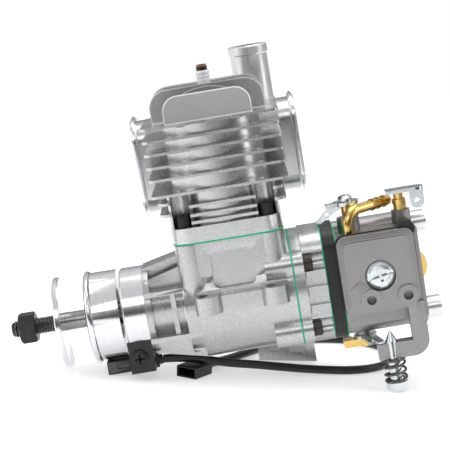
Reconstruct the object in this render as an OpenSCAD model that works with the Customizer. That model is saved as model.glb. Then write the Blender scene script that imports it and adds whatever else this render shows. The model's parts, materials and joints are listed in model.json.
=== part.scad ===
// Ten cubic centimetre two-stroke model aircraft engine, laid on a table.
// X runs along the crank axis, front (propeller end) at -X, carburettor at +X.
// Z runs up the cylinder axis, +Y is the exhaust side. The origin is the point
// where the crank axis and the cylinder axis cross, in the plane of the lugs.

/* [Cylinder] */
// bore of the cylinder
bore = 26; // [20:0.5:30]
// length of the piston stroke
stroke = 18.8; // [14:0.2:24]
// length of the connecting rod between its two eyes
rod_len = 38; // [34:0.5:46]
// half width of the square cylinder deck
deck_half = 19; // [17:0.5:22]
// height of the deck face over the crank axis
deck_z = 23.2; // [20:0.2:26]
// thickness of the green paper gaskets
gasket_t = 0.6; // [0.3:0.1:1]
// half width of the cooling fins along the crank axis
fin_half_x = 23.5; // [21:0.5:27]
// half width of the cooling fins across the crank axis
fin_half_y = 19.5; // [18:0.5:24]
// thickness of one cooling fin
fin_t = 0.9; // [0.6:0.1:2]
// distance between two cooling fins
fin_pitch = 4.4; // [3:0.05:5]
// number of fins with a closed outline under the top fin
full_fins = 5; // [3:1:6]

/* [Crankcase] */
// outer radius of the round crankcase
case_r = 20; // [18:0.5:24]
// place of the front end of the round crankcase
case_front = -14; // [-18:0.5:-10]
// inner radius of the crank chamber
chamber_r = 17.8; // [16:0.2:20]
// place of the front end of the cast nose
nose_front = -32.2; // [-40:0.2:-28]
// distance between the two bolt holes of one mounting lug
lug_dx = 23; // [20:1:30]
// distance between the bolt holes across the crankcase
lug_dy = 48; // [44:1:60]
// radius of a bolt hole in the mounting lug
lug_hole_r = 1.7; // [1:0.1:2.5]

/* [Propeller shaft] */
// radius of the threaded end of the shaft
thread_r = 3; // [2:0.1:4]
// place of the front tip of the shaft
shaft_tip = -81.4; // [-95:0.2:-70]
// radius of the main journal of the shaft
journal_r = 5; // [4:0.5:6]
// radius of the propeller hub
hub_r = 15.6; // [12:0.1:18]
// place of the front face of the hub
hub_front = -53.2; // [-60:0.1:-48]
// length of the hub
hub_len = 11.6; // [6:0.2:14]
// radius of the loose propeller washer
washer_r = 16; // [12:0.5:18]
// thickness of the loose propeller washer
washer_t = 2.2; // [1:0.1:4]
// place of the middle of the loose washer
washer_x = -63.1; // [-68:0.1:-56]
// width of the propeller nut across its flats
nut_af = 10; // [8:0.5:13]

/* [Carburettor] */
// length of the carburettor body along its bore
carb_len = 28; // [24:0.5:34]
// radius of the carburettor bore
carb_bore_r = 6.8; // [5:0.1:8]
// distance between the two carburettor screws
carb_screw_gap = 31; // [28:0.5:34]
// sideways distance of each carburettor screw from the shafts
carb_screw_y = 6; // [5.2:0.2:8]
// half depth of the carburettor body
carb_half_y = 14.4; // [12:0.2:16]
// distance of the throttle shaft from the body's front face
throttle_dx = 6; // [5:0.2:9]
// distance of the choke shaft from the body's rear face
choke_dx = 3.4; // [3:0.2:6]

/* [Silencer] */
// length of the silencer between the ends of its two rims
can_len = 60.7; // [46:0.1:70]
// height of the silencer's rims
rim_h = 37.2; // [30:0.2:42]
// depth of the silencer's rims
rim_d = 26; // [20:1:32]
// outer radius of the exhaust outlet pipe
pipe_r = 6.75; // [5:0.25:9]

/* [Hidden] */
// running gap between a shaft and its hole
run_gap = 0.03;
// seat gap between still pieces
seat_gap = 0.02;
bore_r = bore / 2;
crank_r = stroke / 2;
pin_z = rod_len + crank_r;
crown_z = pin_z + 11;
deck_r = 6;
base_z = deck_z + gasket_t;
base_t = 5.2;
flange_top = base_z + base_t;
head_t = 0.9;
head_z = crown_z + 5.3;
head_top = head_z + head_t;
barrel_r = 17;
screw_xy = deck_half - 4.5;
channel_r = 3.1;
web_r2 = 4.2;
head_r = 2.8;
head_h = 4;
thread_len = 19.4;
plain_r = 3.2;
hub_rear = hub_front + hub_len;
ring_front = hub_rear + 1.1;
web_r = 17.2;
web_front = -11;
web_t = 5.6;
rear_brg_w = 8;
rear_brg_r = 13;
front_brg_w = 7;
front_brg_r = 11;
step_r = 4;
case_rear = deck_half + 0.6;
rear_gx = case_rear + gasket_t;
cover_t = 3.4;
cover_rear = rear_gx + cover_t;
mani_len = 7.2;
mani_rear = cover_rear + mani_len;
ins_gt = 0.4;
ins_front = mani_rear + ins_gt;
ins_t = 4.2;
ins_rear = ins_front + ins_t;
carb_front = ins_rear + ins_gt;
carb_rear = carb_front + carb_len;
screw_dz = sqrt(pow(carb_screw_gap / 2, 2) - pow(carb_screw_y, 2));
throttle_x = carb_front + throttle_dx;
choke_x = carb_rear - choke_dx;
shaft_r = 1.9;
can_x0 = -30.2;
can_x1 = can_x0 + can_len;
can_y = 36;
can_z = head_z - 17.9;
pipe_x = 16.9;
port_y = 23;
// slope and depth of the table under the engine, and of the rear foot's sole
table_slope = 0.1892;
table_drop = 29.79;
foot_slope = 0.183;
foot_drop = 27.75;

// colours of the finishes
cast_c = [0.78, 0.79, 0.8];
machined_c = [0.88, 0.89, 0.9];
black_c = [0.08, 0.08, 0.08];
green_c = [0.1, 0.72, 0.48];
brass_c = [0.78, 0.6, 0.25];
zinc_c = [0.75, 0.79, 0.82];
steel_c = [0.45, 0.45, 0.46];
carb_c = [0.6, 0.59, 0.58];

// round bar along the crank axis
module xcyl(x0, x1, r) {
  translate([x0, 0, 0]) rotate([0, 90, 0]) cylinder(h = x1 - x0, r = r, $fn = 96);
}
// round bar along the Y axis
module ycyl(y0, y1, r) {
  translate([0, y0, 0]) rotate([-90, 0, 0]) cylinder(h = y1 - y0, r = r, $fn = 64);
}
// round bar upward
module zcyl(z0, z1, r) {
  translate([0, 0, z0]) cylinder(h = z1 - z0, r = r, $fn = 64);
}
// flat rectangle with round corners
module rrect(w, h, r) {
  square([w - 2 * r, h], center = true);
  square([w, h - 2 * r], center = true);
  for (a = [-1, 1], b = [-1, 1])
    translate([a * (w / 2 - r), b * (h / 2 - r)]) circle(r = r, $fn = 48);
}
// plate with round corners lying flat from z0 to z1
module zplate(w, h, r, z0, z1) {
  translate([0, 0, z0]) linear_extrude(height = z1 - z0) rrect(w, h, r);
}
// plate with round corners that stands across the crank axis
module xplate(x0, x1, wy, hz, r) {
  translate([x0, 0, 0]) rotate([90, 0, 90]) linear_extrude(height = x1 - x0) rrect(wy, hz, r);
}
// places of the four cylinder screws
module deck_screws() {
  for (a = [-1, 1], b = [-1, 1]) translate([a * screw_xy, b * screw_xy, 0]) children();
}
// places of the four rear cover screws
rear_y = 15.6;
rear_z = 11.6;
rear_off = -1.4;
module rear_screws() {
  for (a = [-1, 1], b = [-1, 1]) translate([0, a * rear_y, b * rear_z + rear_off]) children();
}
// places of the two carburettor screws
module flange_screws() {
  for (b = [-1, 1]) translate([0, b * carb_screw_y, b * screw_dz]) children();
}
// a ring that is open in the middle
module xring(x0, x1, r, ri) {
  difference() {
    xcyl(x0, x1, r);
    xcyl(x0 - 1, x1 + 1, ri);
  }
}

// crankcase
lug_t = 6.2;
boss_r = 4.6;
// middles of the two visible bulges of a lug
lug_bulge = [-10.1, 12.8];
rib_t = 1.7;
rib_z = 7.6;
core_r = 12.8;

module nose_ribs() {
  // front collar and rear collar of the cast nose
  xcyl(nose_front, nose_front + 2, hub_r);
  xcyl(case_front - 4.6, case_front + 1, 18);
  // long ribs on both sides
  for (z = [rib_z, -rib_z - 1])
    translate([nose_front, -16, z - rib_t / 2])
      cube([case_front - nose_front + 1, 32, rib_t]);
  // upright ribs at the middle of the side panels
  translate([-23.3, -14.6, -rib_z - 1]) cube([rib_t, 29.2, 2 * rib_z + 1]);
  // tapered gussets above and below
  for (b = [-1, 1])
    translate([0, 5.5, 0]) rotate([90, 0, 0]) linear_extrude(height = 11)
      polygon([[nose_front, 0], [nose_front, b * 15.2], [case_front + 1, b * 19.6], [case_front + 1, 0]]);
  // tapered flanks beside the gussets
  for (a = [-1, 1])
    translate([0, a * 9.4 + 0.8, 0]) rotate([90, 0, 0]) linear_extrude(height = 1.6)
      polygon([[nose_front, -11.4], [nose_front, 11.4], [case_front + 1, 16.6], [case_front + 1, -16.6]]);
}

module lugs() {
  for (a = [-1, 1], x = lug_bulge)
    translate([x, a * lug_dy / 2, 0]) cylinder(h = lug_t, r = boss_r, $fn = 64);
  translate([lug_bulge[0] - 3, -lug_dy / 2, 0.8]) cube([lug_bulge[1] - lug_bulge[0] + 6, lug_dy, 4.4]);
  // webs that carry the lug into the case
  for (x = lug_bulge)
    translate([x - boss_r, -lug_dy / 2, 0]) cube([2 * boss_r, lug_dy, lug_t]);
}

module crankcase() {
  color(cast_c) difference() {
    union() {
      xcyl(case_front, case_rear, case_r);
      xcyl(nose_front, case_front + 1, core_r);
      nose_ribs();
      // deck for the cylinder
      zplate(2 * deck_half, 2 * deck_half, deck_r, 11.6, deck_z);
      zplate(2 * deck_half - 1, 2 * deck_half - 2.4, deck_r, 1, 12);
      // columns round the cylinder screws
      for (a = [-1, 1], b = [-1, 1])
        translate([a * (deck_half - 5.1), b * (deck_half - 4.4), 0]) {
          zcyl(9, deck_z, 4.9);
          translate([0, 0, 9]) sphere(r = 4.9, $fn = 48);
        }
      // bosses of the rear cover screws
      rear_screws() xcyl(10.5, case_rear, 4.7);
      translate([10.5, -rear_y - 1, 2]) cube([case_rear - 10.5, 2 * rear_y + 2, 8]);
      lugs();
    }
    // crank chamber and opening toward the cylinder
    xcyl(-11.4, case_rear + 1, chamber_r);
    zcyl(0, deck_z + 1, bore_r + 2.2);
    // bearing seats and shaft passage
    xcyl(web_front - 0.5 - rear_brg_w, -11, rear_brg_r + seat_gap);
    xcyl(nose_front - 1, -15, 6.2);
    // recessed panels on both deck faces
    for (a = [-1, 1])
      translate([-0.1, a * deck_half, 13.2]) rotate([90, 0, 0])
        linear_extrude(height = 3.2, center = true) rrect(14.6, 12.8, 2.2);
    // bolt holes in the lugs
    for (a = [-1, 1], b = [-1, 1])
      translate([b * lug_dx / 2, a * lug_dy / 2, 0]) zcyl(-1, lug_t + 1, lug_hole_r);
    // threaded holes
    deck_screws() zcyl(deck_z - 10.4, deck_z + 1, 1.5 + seat_gap);
    rear_screws() xcyl(11.4, case_rear + 1, 1.5 + seat_gap);
  }
}

module nose_ring() {
  color(machined_c) difference() {
    union() {
      xcyl(ring_front + 0.4, nose_front - seat_gap, 15.5);
      xcyl(ring_front, nose_front - 1, 15.1);
    }
    xcyl(ring_front - 1, ring_front + 1.2, 9);
    xcyl(ring_front + 1.2, nose_front + 1, front_brg_r + seat_gap);
  }
}

module bearing_race(x0, w, ro, ri) {
  band = (ro - ri) * 0.28;
  color(steel_c) xring(x0, x0 + w, ro, ro - band);
}
module bearing_inner(x0, w, ro, ri) {
  band = (ro - ri) * 0.28;
  color(steel_c) xring(x0, x0 + w, ri + band, ri + seat_gap);
}
module bearing_balls(x0, w, ro, ri, n) {
  mid = (ro + ri) / 2;
  rb = (ro - ri) * 0.22 - seat_gap;
  color(machined_c) for (i = [0:n - 1])
    rotate([i * 360 / n, 0, 0]) translate([x0 + w / 2, 0, mid]) sphere(r = rb, $fn = 32);
}
rear_bx = web_front - 0.5 - rear_brg_w;
front_bx = ring_front + 1.2;
front_w = nose_front - seat_gap - front_bx - 0.1;
module bearing_races() {
  bearing_race(rear_bx + 0.02, rear_brg_w, rear_brg_r, journal_r);
  bearing_race(front_bx + 0.02, front_w, front_brg_r, step_r);
}
module bearing_inners() {
  bearing_inner(rear_bx + 0.02, rear_brg_w, rear_brg_r, journal_r);
  bearing_inner(front_bx + 0.02, front_w, front_brg_r, step_r);
}
module bearing_ball_sets() {
  bearing_balls(rear_bx, rear_brg_w, rear_brg_r, journal_r, 9);
  bearing_balls(front_bx, front_w, front_brg_r, step_r, 9);
}

// crankshaft and propeller drive
module crankshaft() {
  color(steel_c) difference() {
    union() {
      xcyl(web_front, web_front + web_t, web_r);
      xcyl(nose_front + 0.3, web_front + 0.1, journal_r);
      xcyl(hub_front + 2, nose_front + 0.4, step_r);
      xcyl(shaft_tip + thread_len, hub_front + 2.1, plain_r);
      // threaded end: a stack of ridges on a core
      xcyl(shaft_tip + 0.5, shaft_tip + thread_len + 0.1, thread_r - 0.42);
      for (i = [0:17])
        translate([shaft_tip + 1.1 + i, 0, 0]) rotate([0, 90, 0]) {
          cylinder(h = 0.42, r1 = thread_r - 0.42, r2 = thread_r, $fn = 48);
          translate([0, 0, 0.42]) cylinder(h = 0.1, r = thread_r, $fn = 48);
          translate([0, 0, 0.52]) cylinder(h = 0.42, r1 = thread_r, r2 = thread_r - 0.42, $fn = 48);
        }
      translate([shaft_tip, 0, 0]) rotate([0, 90, 0])
        cylinder(h = 0.6, r1 = thread_r - 0.9, r2 = thread_r - 0.42, $fn = 48);
    }
    // lightened crank web beside the crank pin
    for (a = [-1, 1])
      translate([0, a * 12, 9]) xcyl(web_front + 2, web_front + web_t + 1, 4.4);
  }
}

module prop_hub() {
  bead_w = 2.5;
  color(machined_c) difference() {
    union() {
      xcyl(hub_front + bead_w - 0.3, hub_rear, hub_r);
      // rounded bead round the front rim
      translate([hub_front + bead_w / 2, 0, 0]) rotate([0, 90, 0])
        rotate_extrude($fn = 96) translate([hub_r - bead_w / 2 + 0.75, 0]) circle(r = bead_w / 2, $fn = 24);
      xcyl(hub_front + 0.2, hub_front + bead_w, hub_r - 0.6);
    }
    xcyl(hub_front - 1, hub_front + 2.1, plain_r + seat_gap);
    xcyl(hub_front + 2, hub_rear + 1, step_r + seat_gap);
    // shallow face between the rim and the middle
    xring(hub_front - 1, hub_front + 0.8, 13.6, 7);
    // seat of the small magnet
    translate([hub_rear - 3.2, 0, 0]) zcyl(-hub_r - 1, -hub_r + 3, 2 + seat_gap);
  }
}
module hub_magnet() {
  color(steel_c) translate([hub_rear - 3.2, 0, 0]) zcyl(-hub_r + 0.3, -hub_r + 2.97, 2);
}
module prop_washer() {
  color(machined_c) difference() {
    union() {
      xcyl(washer_x - washer_t / 2, washer_x + washer_t / 2, washer_r - 0.4);
      xcyl(washer_x - washer_t / 2 + 0.3, washer_x + washer_t / 2 - 0.3, washer_r);
    }
    xcyl(washer_x - washer_t, washer_x + washer_t, plain_r + 0.1);
  }
}
nut_x = shaft_tip + 2.8;
nut_len = 6;
module prop_nut() {
  color(black_c) difference() {
    intersection() {
      translate([nut_x, 0, 0]) rotate([0, 90, 0]) rotate([0, 0, 30])
        cylinder(h = nut_len, r = nut_af / 2 / cos(30), $fn = 6);
      union() {
        translate([nut_x, 0, 0]) rotate([0, 90, 0])
          cylinder(h = 0.9, r1 = nut_af / 2 - 0.1, r2 = nut_af / 2 + 1, $fn = 64);
        xcyl(nut_x + 0.9, nut_x + nut_len - 0.9, nut_af / 2 + 1);
        translate([nut_x + nut_len - 0.9, 0, 0]) rotate([0, 90, 0])
          cylinder(h = 0.9, r1 = nut_af / 2 + 1, r2 = nut_af / 2 - 0.1, $fn = 64);
      }
    }
    xcyl(nut_x - 1, nut_x + nut_len + 1, thread_r + run_gap);
  }
}

// piston and rod
gud_r = 3;
module piston() {
  color(machined_c) difference() {
    zcyl(pin_z - 10, crown_z, bore_r - run_gap);
    zcyl(pin_z - 11, crown_z - 3.4, bore_r - 2.2);
    // ring groove
    difference() {
      zcyl(crown_z - 2.6, crown_z - 1.4, bore_r + 1);
      zcyl(crown_z - 3, crown_z - 1, bore_r - 1.4);
    }
    translate([0, 0, pin_z]) xcyl(-bore_r - 1, bore_r + 1, gud_r + seat_gap);
  }
  // bosses of the gudgeon pin
  color(machined_c) difference() {
    intersection() {
      for (a = [-1, 1])
        translate([a * 8 - 3, 0, pin_z]) xcyl(0, 6, gud_r + 2);
      zcyl(pin_z - 9, crown_z - 3, bore_r - 1.5);
    }
    translate([0, 0, pin_z]) xcyl(-bore_r - 1, bore_r + 1, gud_r + seat_gap);
  }
}
module piston_ring() {
  color(steel_c) difference() {
    zcyl(crown_z - 2.57, crown_z - 1.43, bore_r - 0.01);
    zcyl(crown_z - 3, crown_z - 1, bore_r - 1.37);
    translate([-0.15, 8, crown_z - 3]) cube([0.3, 8, 3]);
  }
}
module gudgeon_pin() {
  color(steel_c) translate([0, 0, pin_z]) xring(-11.4, 11.4, gud_r, 1.4);
}
module con_rod() {
  eye = 4.5;
  color(steel_c) difference() {
    union() {
      translate([0, 0, pin_z]) xcyl(-4.2, 4.2, 4.8);
      translate([0, 0, crank_r]) xcyl(-4.4, 4.4, 4.9);
      translate([-2, -2.4, crank_r + 3]) cube([4, 4.8, rod_len - 6]);
    }
    translate([0, 0, pin_z]) xcyl(-eye, eye, gud_r + run_gap);
    translate([0, 0, crank_r]) xcyl(-eye, eye, 3 + run_gap);
    // slot that makes the shank an I section
    for (a = [-1, 1])
      translate([a * 2 - 0.7, -1.5, crank_r + 6.4]) cube([1.4, 3, rod_len - 13]);
  }
}
module crank_pin() {
  color(steel_c) translate([0, 0, crank_r]) xcyl(-5, 5.4, 3);
}

// cylinder
// upright plate with an arched top
module head_arch(y, w, h, r, t) {
  translate([0, y + t / 2, head_top - 0.1]) rotate([90, 0, 0]) linear_extrude(height = t) intersection() {
    translate([0, h / 2]) square([w, h], center = true);
    translate([0, h - r]) circle(r = r, $fn = 96);
  }
}
module screw_channels(z0, z1) {
  for (a = [-1, 1], b = [-1, 1])
    translate([a * screw_xy, b * screw_xy, 0]) {
      zcyl(z0, z1, channel_r);
      translate([-channel_r, b > 0 ? 0 : -8, z0]) cube([2 * channel_r, 8, z1 - z0]);
    }
}
module head_plate(y, w, h, r, t) {
  // upright plate with round upper corners, standing on the head
  translate([0, y + t / 2, head_top - 0.1]) rotate([90, 0, 0]) linear_extrude(height = t) {
    translate([0, (h - r) / 2]) square([w, h - r], center = true);
    translate([0, h / 2]) square([w - 2 * r, h], center = true);
    for (a = [-1, 1]) translate([a * (w / 2 - r), h - r]) circle(r = r, $fn = 48);
  }
}
// underside of a closed fin; the lowest one stands a little lower
function fin_z(i) = head_z - i * fin_pitch - (i == full_fins ? 1.2 : 0);
cut_top = fin_z(full_fins);
module lower_fins() {
  // short fins outside the screw channels
  difference() {
    for (z = [cut_top - 2.4, cut_top - 6.3])
      zplate(2 * fin_half_x - 3.6, 2 * fin_half_y - 1, 3, z - 0.5, z + 0.5);
    translate([-screw_xy, -30, flange_top]) cube([2 * screw_xy, 60, 20]);
  }
  // fins between the screw channels
  for (z = [cut_top - 4.3, cut_top - 7.4, cut_top - 9.9])
    zplate(2 * screw_xy, 2 * fin_half_y - 1, 1, z - 0.5, z + 0.5);
  // webs round the channels
  deck_screws() zcyl(flange_top - 0.1, cut_top + 0.2, web_r2);
}
module cylinder_body() {
  color(cast_c) difference() {
    union() {
      // base flange, liner spigot and barrel
      zplate(2 * deck_half, 2 * deck_half, deck_r, base_z, flange_top);
      zcyl(deck_z - 4.6, base_z + 1, bore_r + 2.1);
      zcyl(base_z, head_top, barrel_r);
      // closed fins, largest at the top
      zplate(2 * fin_half_x, 2 * fin_half_y, 2.2, head_z, head_top);
      for (i = [1:full_fins])
        zplate(2 * fin_half_x, 2 * fin_half_y, 2.2, fin_z(i), fin_z(i) + fin_t);
      // lower fins, cut by the channels of the cylinder screws
      difference() {
        lower_fins();
        screw_channels(flange_top, cut_top);
      }
      // block of the exhaust port
      translate([-12.5, 14, can_z - 11]) cube([25, port_y - 14, 21]);
      // plates of the cylinder head
      for (b = [-1, 1]) {
        head_plate(b * 17.6, 30, 9.4, 5.4, 1.2);
        head_arch(b * 10.9, 26, 10.6, 20.8, 1.2);
        head_plate(b * 7, 39.5, 11.2, 6.4, 1.6);
      }
      zcyl(head_top - 1, head_top + 1.4, 6.6);
    }
    // cylinder bore and combustion chamber
    zcyl(deck_z - 6, crown_z + 0.8, bore_r);
    translate([0, 0, crown_z + 0.79]) cylinder(h = 2.4, r1 = bore_r - 3, r2 = 4.4, $fn = 64);
    zcyl(crown_z, head_top + 3, 3.15 + seat_gap);
    // holes of the cylinder screws
    deck_screws() zcyl(base_z - 1, flange_top + 1, 1.6);
    deck_screws() zcyl(flange_top - 0.01, cut_top, channel_r);
    // holes for the key of the cylinder screws
    deck_screws() zcyl(cut_top - 1, head_top + 1, 2.3);
    // exhaust port
    translate([0, 0, can_z]) rotate([-90, 0, 0])
      linear_extrude(height = port_y + 1) rrect(14, 8, 2);
    // threaded holes of the silencer screws
    for (a = [-1, 1]) translate([a * 9.8, 0, can_z]) ycyl(port_y - 5.4, port_y + 1, 1.25 + seat_gap);
  }
}
module cylinder_gasket() {
  color(green_c) difference() {
    zplate(2 * deck_half + 0.3, 2 * deck_half + 0.3, deck_r, deck_z, base_z);
    zcyl(deck_z - 1, base_z + 1, bore_r + 2.2);
    deck_screws() zcyl(deck_z - 1, base_z + 1, 1.7);
  }
}
// socket head cap screw standing on its shank, head above z = 0
module cap_screw(r, len, hr, hh) {
  difference() {
    union() {
      zcyl(-len, 0.1, r);
      zcyl(0, hh - 0.3, hr);
      zcyl(hh - 0.4, hh, hr - 0.3);
    }
    translate([0, 0, hh * 0.45]) cylinder(h = hh, r = r * 0.96, $fn = 6);
  }
}
module cylinder_screws() {
  color(black_c) deck_screws() translate([0, 0, flange_top]) cap_screw(1.5, 14, head_r, head_h);
}

// spark plug
module plug_shell() {
  color(zinc_c) difference() {
    union() {
      zcyl(crown_z + 2, head_top + 2.6, 3.15);
      translate([0, 0, head_top + 2]) cylinder(h = 4.4, r = 9.4 / 2 / cos(30), $fn = 6);
      zcyl(head_top + 6.3, head_top + 7.6, 3.7);
    }
    zcyl(crown_z + 1, head_top + 9, 2.35 + seat_gap);
  }
}
module plug_washer() {
  color(brass_c) difference() {
    zcyl(head_top + 1.4, head_top + 2, 4.6);
    zcyl(head_top + 1, head_top + 3, 3.15 + seat_gap);
  }
}
module plug_insulator() {
  color([0.95, 0.95, 0.94]) {
    zcyl(crown_z + 3, head_top + 11, 2.35);
    for (i = [0:2]) translate([0, 0, head_top + 11.3 + i * 1.3]) {
      zcyl(-0.4, 1.2, 2.1);
      zcyl(0, 0.8, 2.45);
    }
  }
}
module plug_terminal() {
  color(brass_c) {
    zcyl(head_top + 15.12, head_top + 16.6, 1.9);
    zcyl(head_top + 16.59, head_top + 17.2, 1.7);
  }
}

// silencer
module oval(w, h) {
  // upright rectangle with large round corners
  rrect(w, h, 9 - (rim_d - w) / 2);
}
module xoval(x0, x1, w, h) {
  translate([x0, can_y, can_z]) rotate([90, 0, 90]) linear_extrude(height = x1 - x0) oval(w, h);
}
can_wall = 1.2;
rim_w = 2.2;
module silencer_body() {
  color(cast_c) difference() {
    union() {
      xoval(can_x0 + rim_w - 0.6, can_x1 - rim_w + 0.6, rim_d - 3.6, rim_h - 3.6);
      // flange against the cylinder
      translate([-12.5, port_y + gasket_t, can_z - 11]) cube([25, 4.2, 21]);
      translate([-8, port_y + 2, can_z - 7]) cube([16, 5, 13]);
    }
    xoval(can_x0 + rim_w, can_x1 - rim_w, rim_d - 3.6 - 2 * can_wall, rim_h - 3.6 - 2 * can_wall);
    xoval(can_x0, can_x0 + rim_w + 1, rim_d - 3.6 - 2 * can_wall, rim_h - 3.6 - 2 * can_wall);
    xoval(can_x1 - rim_w - 1, can_x1, rim_d - 3.6 - 2 * can_wall, rim_h - 3.6 - 2 * can_wall);
    translate([0, 0, can_z]) rotate([-90, 0, 0])
      translate([0, 0, port_y - 1]) linear_extrude(height = 9) rrect(13.6, 7.6, 2);
    for (a = [-1, 1]) translate([a * 9.8, 0, can_z]) ycyl(port_y - 1, port_y + 6, 1.35);
    translate([pipe_x, can_y, 0]) zcyl(can_z + 5, can_z + rim_h, pipe_r - 1.9);
  }
}
// rolled rim and end wall of the silencer
module end_cap(s) {
  x = s < 0 ? can_x0 : can_x1 - rim_w;
  difference() {
    union() {
      xoval(x + 0.7, x + rim_w - 0.7, rim_d, rim_h);
      xoval(x + 0.3, x + rim_w - 0.3, rim_d - 1, rim_h - 1);
      xoval(x, x + rim_w, rim_d - 2.2, rim_h - 2.2);
    }
    // seat over the end of the body, and the dished outer face
    xoval(s < 0 ? x + rim_w - 0.65 : x - 1, s < 0 ? x + rim_w + 1 : x + 0.65, rim_d - 3.56, rim_h - 3.56);
    xoval(s < 0 ? x - 1 : x + rim_w - 0.9, s < 0 ? x + 0.9 : x + rim_w + 1, rim_d - 6, rim_h - 6);
  }
}
module silencer_caps() {
  color(machined_c) {
    end_cap(-1);
    end_cap(1);
  }
}
pipe_z0 = can_z + rim_h / 2 - 1.8 + seat_gap;
module exhaust_pipe() {
  color(machined_c) translate([pipe_x, can_y, 0]) difference() {
    union() {
      zcyl(pipe_z0, pipe_z0 + 21.2, pipe_r);
      // flared root, and the raised band that the hose sits on
      translate([0, 0, pipe_z0]) cylinder(h = 1.6, r1 = pipe_r + 0.9, r2 = pipe_r, $fn = 64);
      translate([0, 0, pipe_z0 + 17.7]) cylinder(h = 0.61, r1 = pipe_r, r2 = pipe_r + 0.45, $fn = 64);
      zcyl(pipe_z0 + 18.3, pipe_z0 + 20.9, pipe_r + 0.45);
      translate([0, 0, pipe_z0 + 20.89]) cylinder(h = 0.4, r1 = pipe_r + 0.45, r2 = pipe_r + 0.15, $fn = 64);
    }
    zcyl(pipe_z0 - 1, pipe_z0 + 26, pipe_r - 1.4);
  }
}
module exhaust_gasket() {
  color(green_c) difference() {
    translate([-12.5, port_y, can_z - 11]) cube([25, gasket_t, 21]);
    translate([0, 0, can_z]) rotate([-90, 0, 0])
      translate([0, 0, port_y - 1]) linear_extrude(height = 3) rrect(14, 8, 2);
    for (a = [-1, 1]) translate([a * 9.8, 0, can_z]) ycyl(port_y - 1, port_y + 2, 1.35);
  }
}

// rear cover and intake
module rear_outline() {
  circle(r = case_r, $fn = 96);
  for (a = [-1, 1], b = [-1, 1])
    translate([a * rear_y, b * rear_z + rear_off]) circle(r = 4.7, $fn = 48);
  translate([0, 5]) square([2 * rear_y + 4, 14], center = true);
  translate([0, -8]) square([2 * rear_y + 3, 14], center = true);
}
module rear_plate(x0, x1, hole) {
  difference() {
    translate([x0, 0, 0]) rotate([90, 0, 90]) linear_extrude(height = x1 - x0) rear_outline();
    rear_screws() xcyl(x0 - 1, x1 + 1, hole);
  }
}
module rear_gasket() {
  color(green_c) difference() {
    rear_plate(case_rear, rear_gx, 1.6);
    xcyl(case_rear - 1, rear_gx + 1, chamber_r - 0.2);
  }
}
// cast foot under the rear cover
foot_x0 = 3;
foot_y0 = 12;
foot_w = 4.4;
foot_t = 3.2;
foot_reach = 12;
foot_rib = 3.5;
function sole(x) = -foot_drop - foot_slope * x;
function ground(x) = -table_drop - table_slope * x;
module rear_foot() {
  translate([0, foot_y0 + foot_reach, 0]) rotate([90, 0, 0]) linear_extrude(height = foot_reach)
    polygon([[foot_x0, sole(foot_x0)], [cover_rear, sole(cover_rear)],
             [cover_rear, sole(cover_rear) + foot_t], [foot_x0, sole(foot_x0) + foot_t]]);
  // rib along the outer edge, on which the engine lies
  translate([0, foot_y0 + foot_reach, 0]) rotate([90, 0, 0]) linear_extrude(height = foot_rib)
    polygon([[foot_x0, ground(foot_x0)], [cover_rear, ground(cover_rear)],
             [cover_rear, sole(cover_rear) + 1], [foot_x0, sole(foot_x0) + 1]]);
  translate([rear_gx, foot_y0, sole(rear_gx) + 1]) cube([cover_t, foot_w, 18]);
  translate([foot_x0 + 0.6, foot_y0, sole(foot_x0) + 0.6]) cube([3.4, foot_w, 6.4]);
  translate([foot_x0 + 8, foot_y0, sole(foot_x0)]) cube([3.4, foot_w, 7]);
  translate([0, foot_y0 + foot_w, 0]) rotate([90, 0, 0]) linear_extrude(height = foot_w)
    polygon([[foot_x0, -24], [cover_rear, -25.9], [cover_rear, -23.5], [foot_x0, -21.6]]);
}
module rear_cover() {
  color(cast_c) difference() {
    union() {
      rear_plate(rear_gx, cover_rear, 1.6);
      rear_foot();
    }
    xcyl(rear_gx - 1, cover_rear + 1, 10.5);
    rear_screws() xcyl(rear_gx - 1, cover_rear + 1, 1.6);
  }
}
mani_y = 33;
mani_z = 39;
module intake_manifold() {
  color(cast_c) difference() {
    union() {
      xplate(cover_rear + seat_gap, mani_rear, mani_y - 3, mani_z, 8);
      // stepped ribs on both sides
      for (b = [-1, 0, 1])
        translate([cover_rear + 0.4, -mani_y / 2, b * 6.4 - 1.6]) cube([mani_len - 0.4, mani_y, 3.2]);
    }
    xcyl(cover_rear - 1, cover_rear + 4, 10.4);
    xcyl(cover_rear + 3.9, mani_rear + 1, 7.2);
    // pockets for the heads of the rear screws
    rear_screws() xcyl(cover_rear - 1, mani_rear + 1, 3.1);
    // threaded holes of the carburettor screws
    flange_screws() xcyl(cover_rear - 1, mani_rear + 1, 2.5 + seat_gap);
  }
}
module reed_block() {
  color(black_c) difference() {
    union() {
      xcyl(cover_rear + seat_gap, cover_rear + 3.8, 10.3);
      translate([13.4, 0, 0]) rotate([90, 0, 0]) linear_extrude(height = 15, center = true)
        polygon([[1, 0.6], [1, -0.6], [10.8, -6.6], [10.8, 6.6]]);
      xcyl(cover_rear - 1.2, cover_rear + 1, 10.3);
    }
    translate([14.4, 0, 0]) rotate([90, 0, 0]) linear_extrude(height = 12, center = true)
      polygon([[2.2, 0.01], [2.2, -0.01], [14.4, -5.6], [14.4, 5.6]]);
    translate([cover_rear - 2, -6, -5.2]) cube([8, 12, 10.4]);
  }
}
module manifold_screws() {
  color([0.16, 0.13, 0.12])
    rear_screws() translate([cover_rear, 0, 0]) rotate([0, 90, 0]) cap_screw(1.5, 11, 2.7, 3.2);
}
ins_y = 27;
ins_z = 39.4;
module flange_sheet(x0, x1, grow, hole) {
  difference() {
    xplate(x0, x1, ins_y + grow, ins_z + grow, 7);
    xcyl(x0 - 1, x1 + 1, 7);
    flange_screws() xcyl(x0 - 1, x1 + 1, hole);
  }
}
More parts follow.
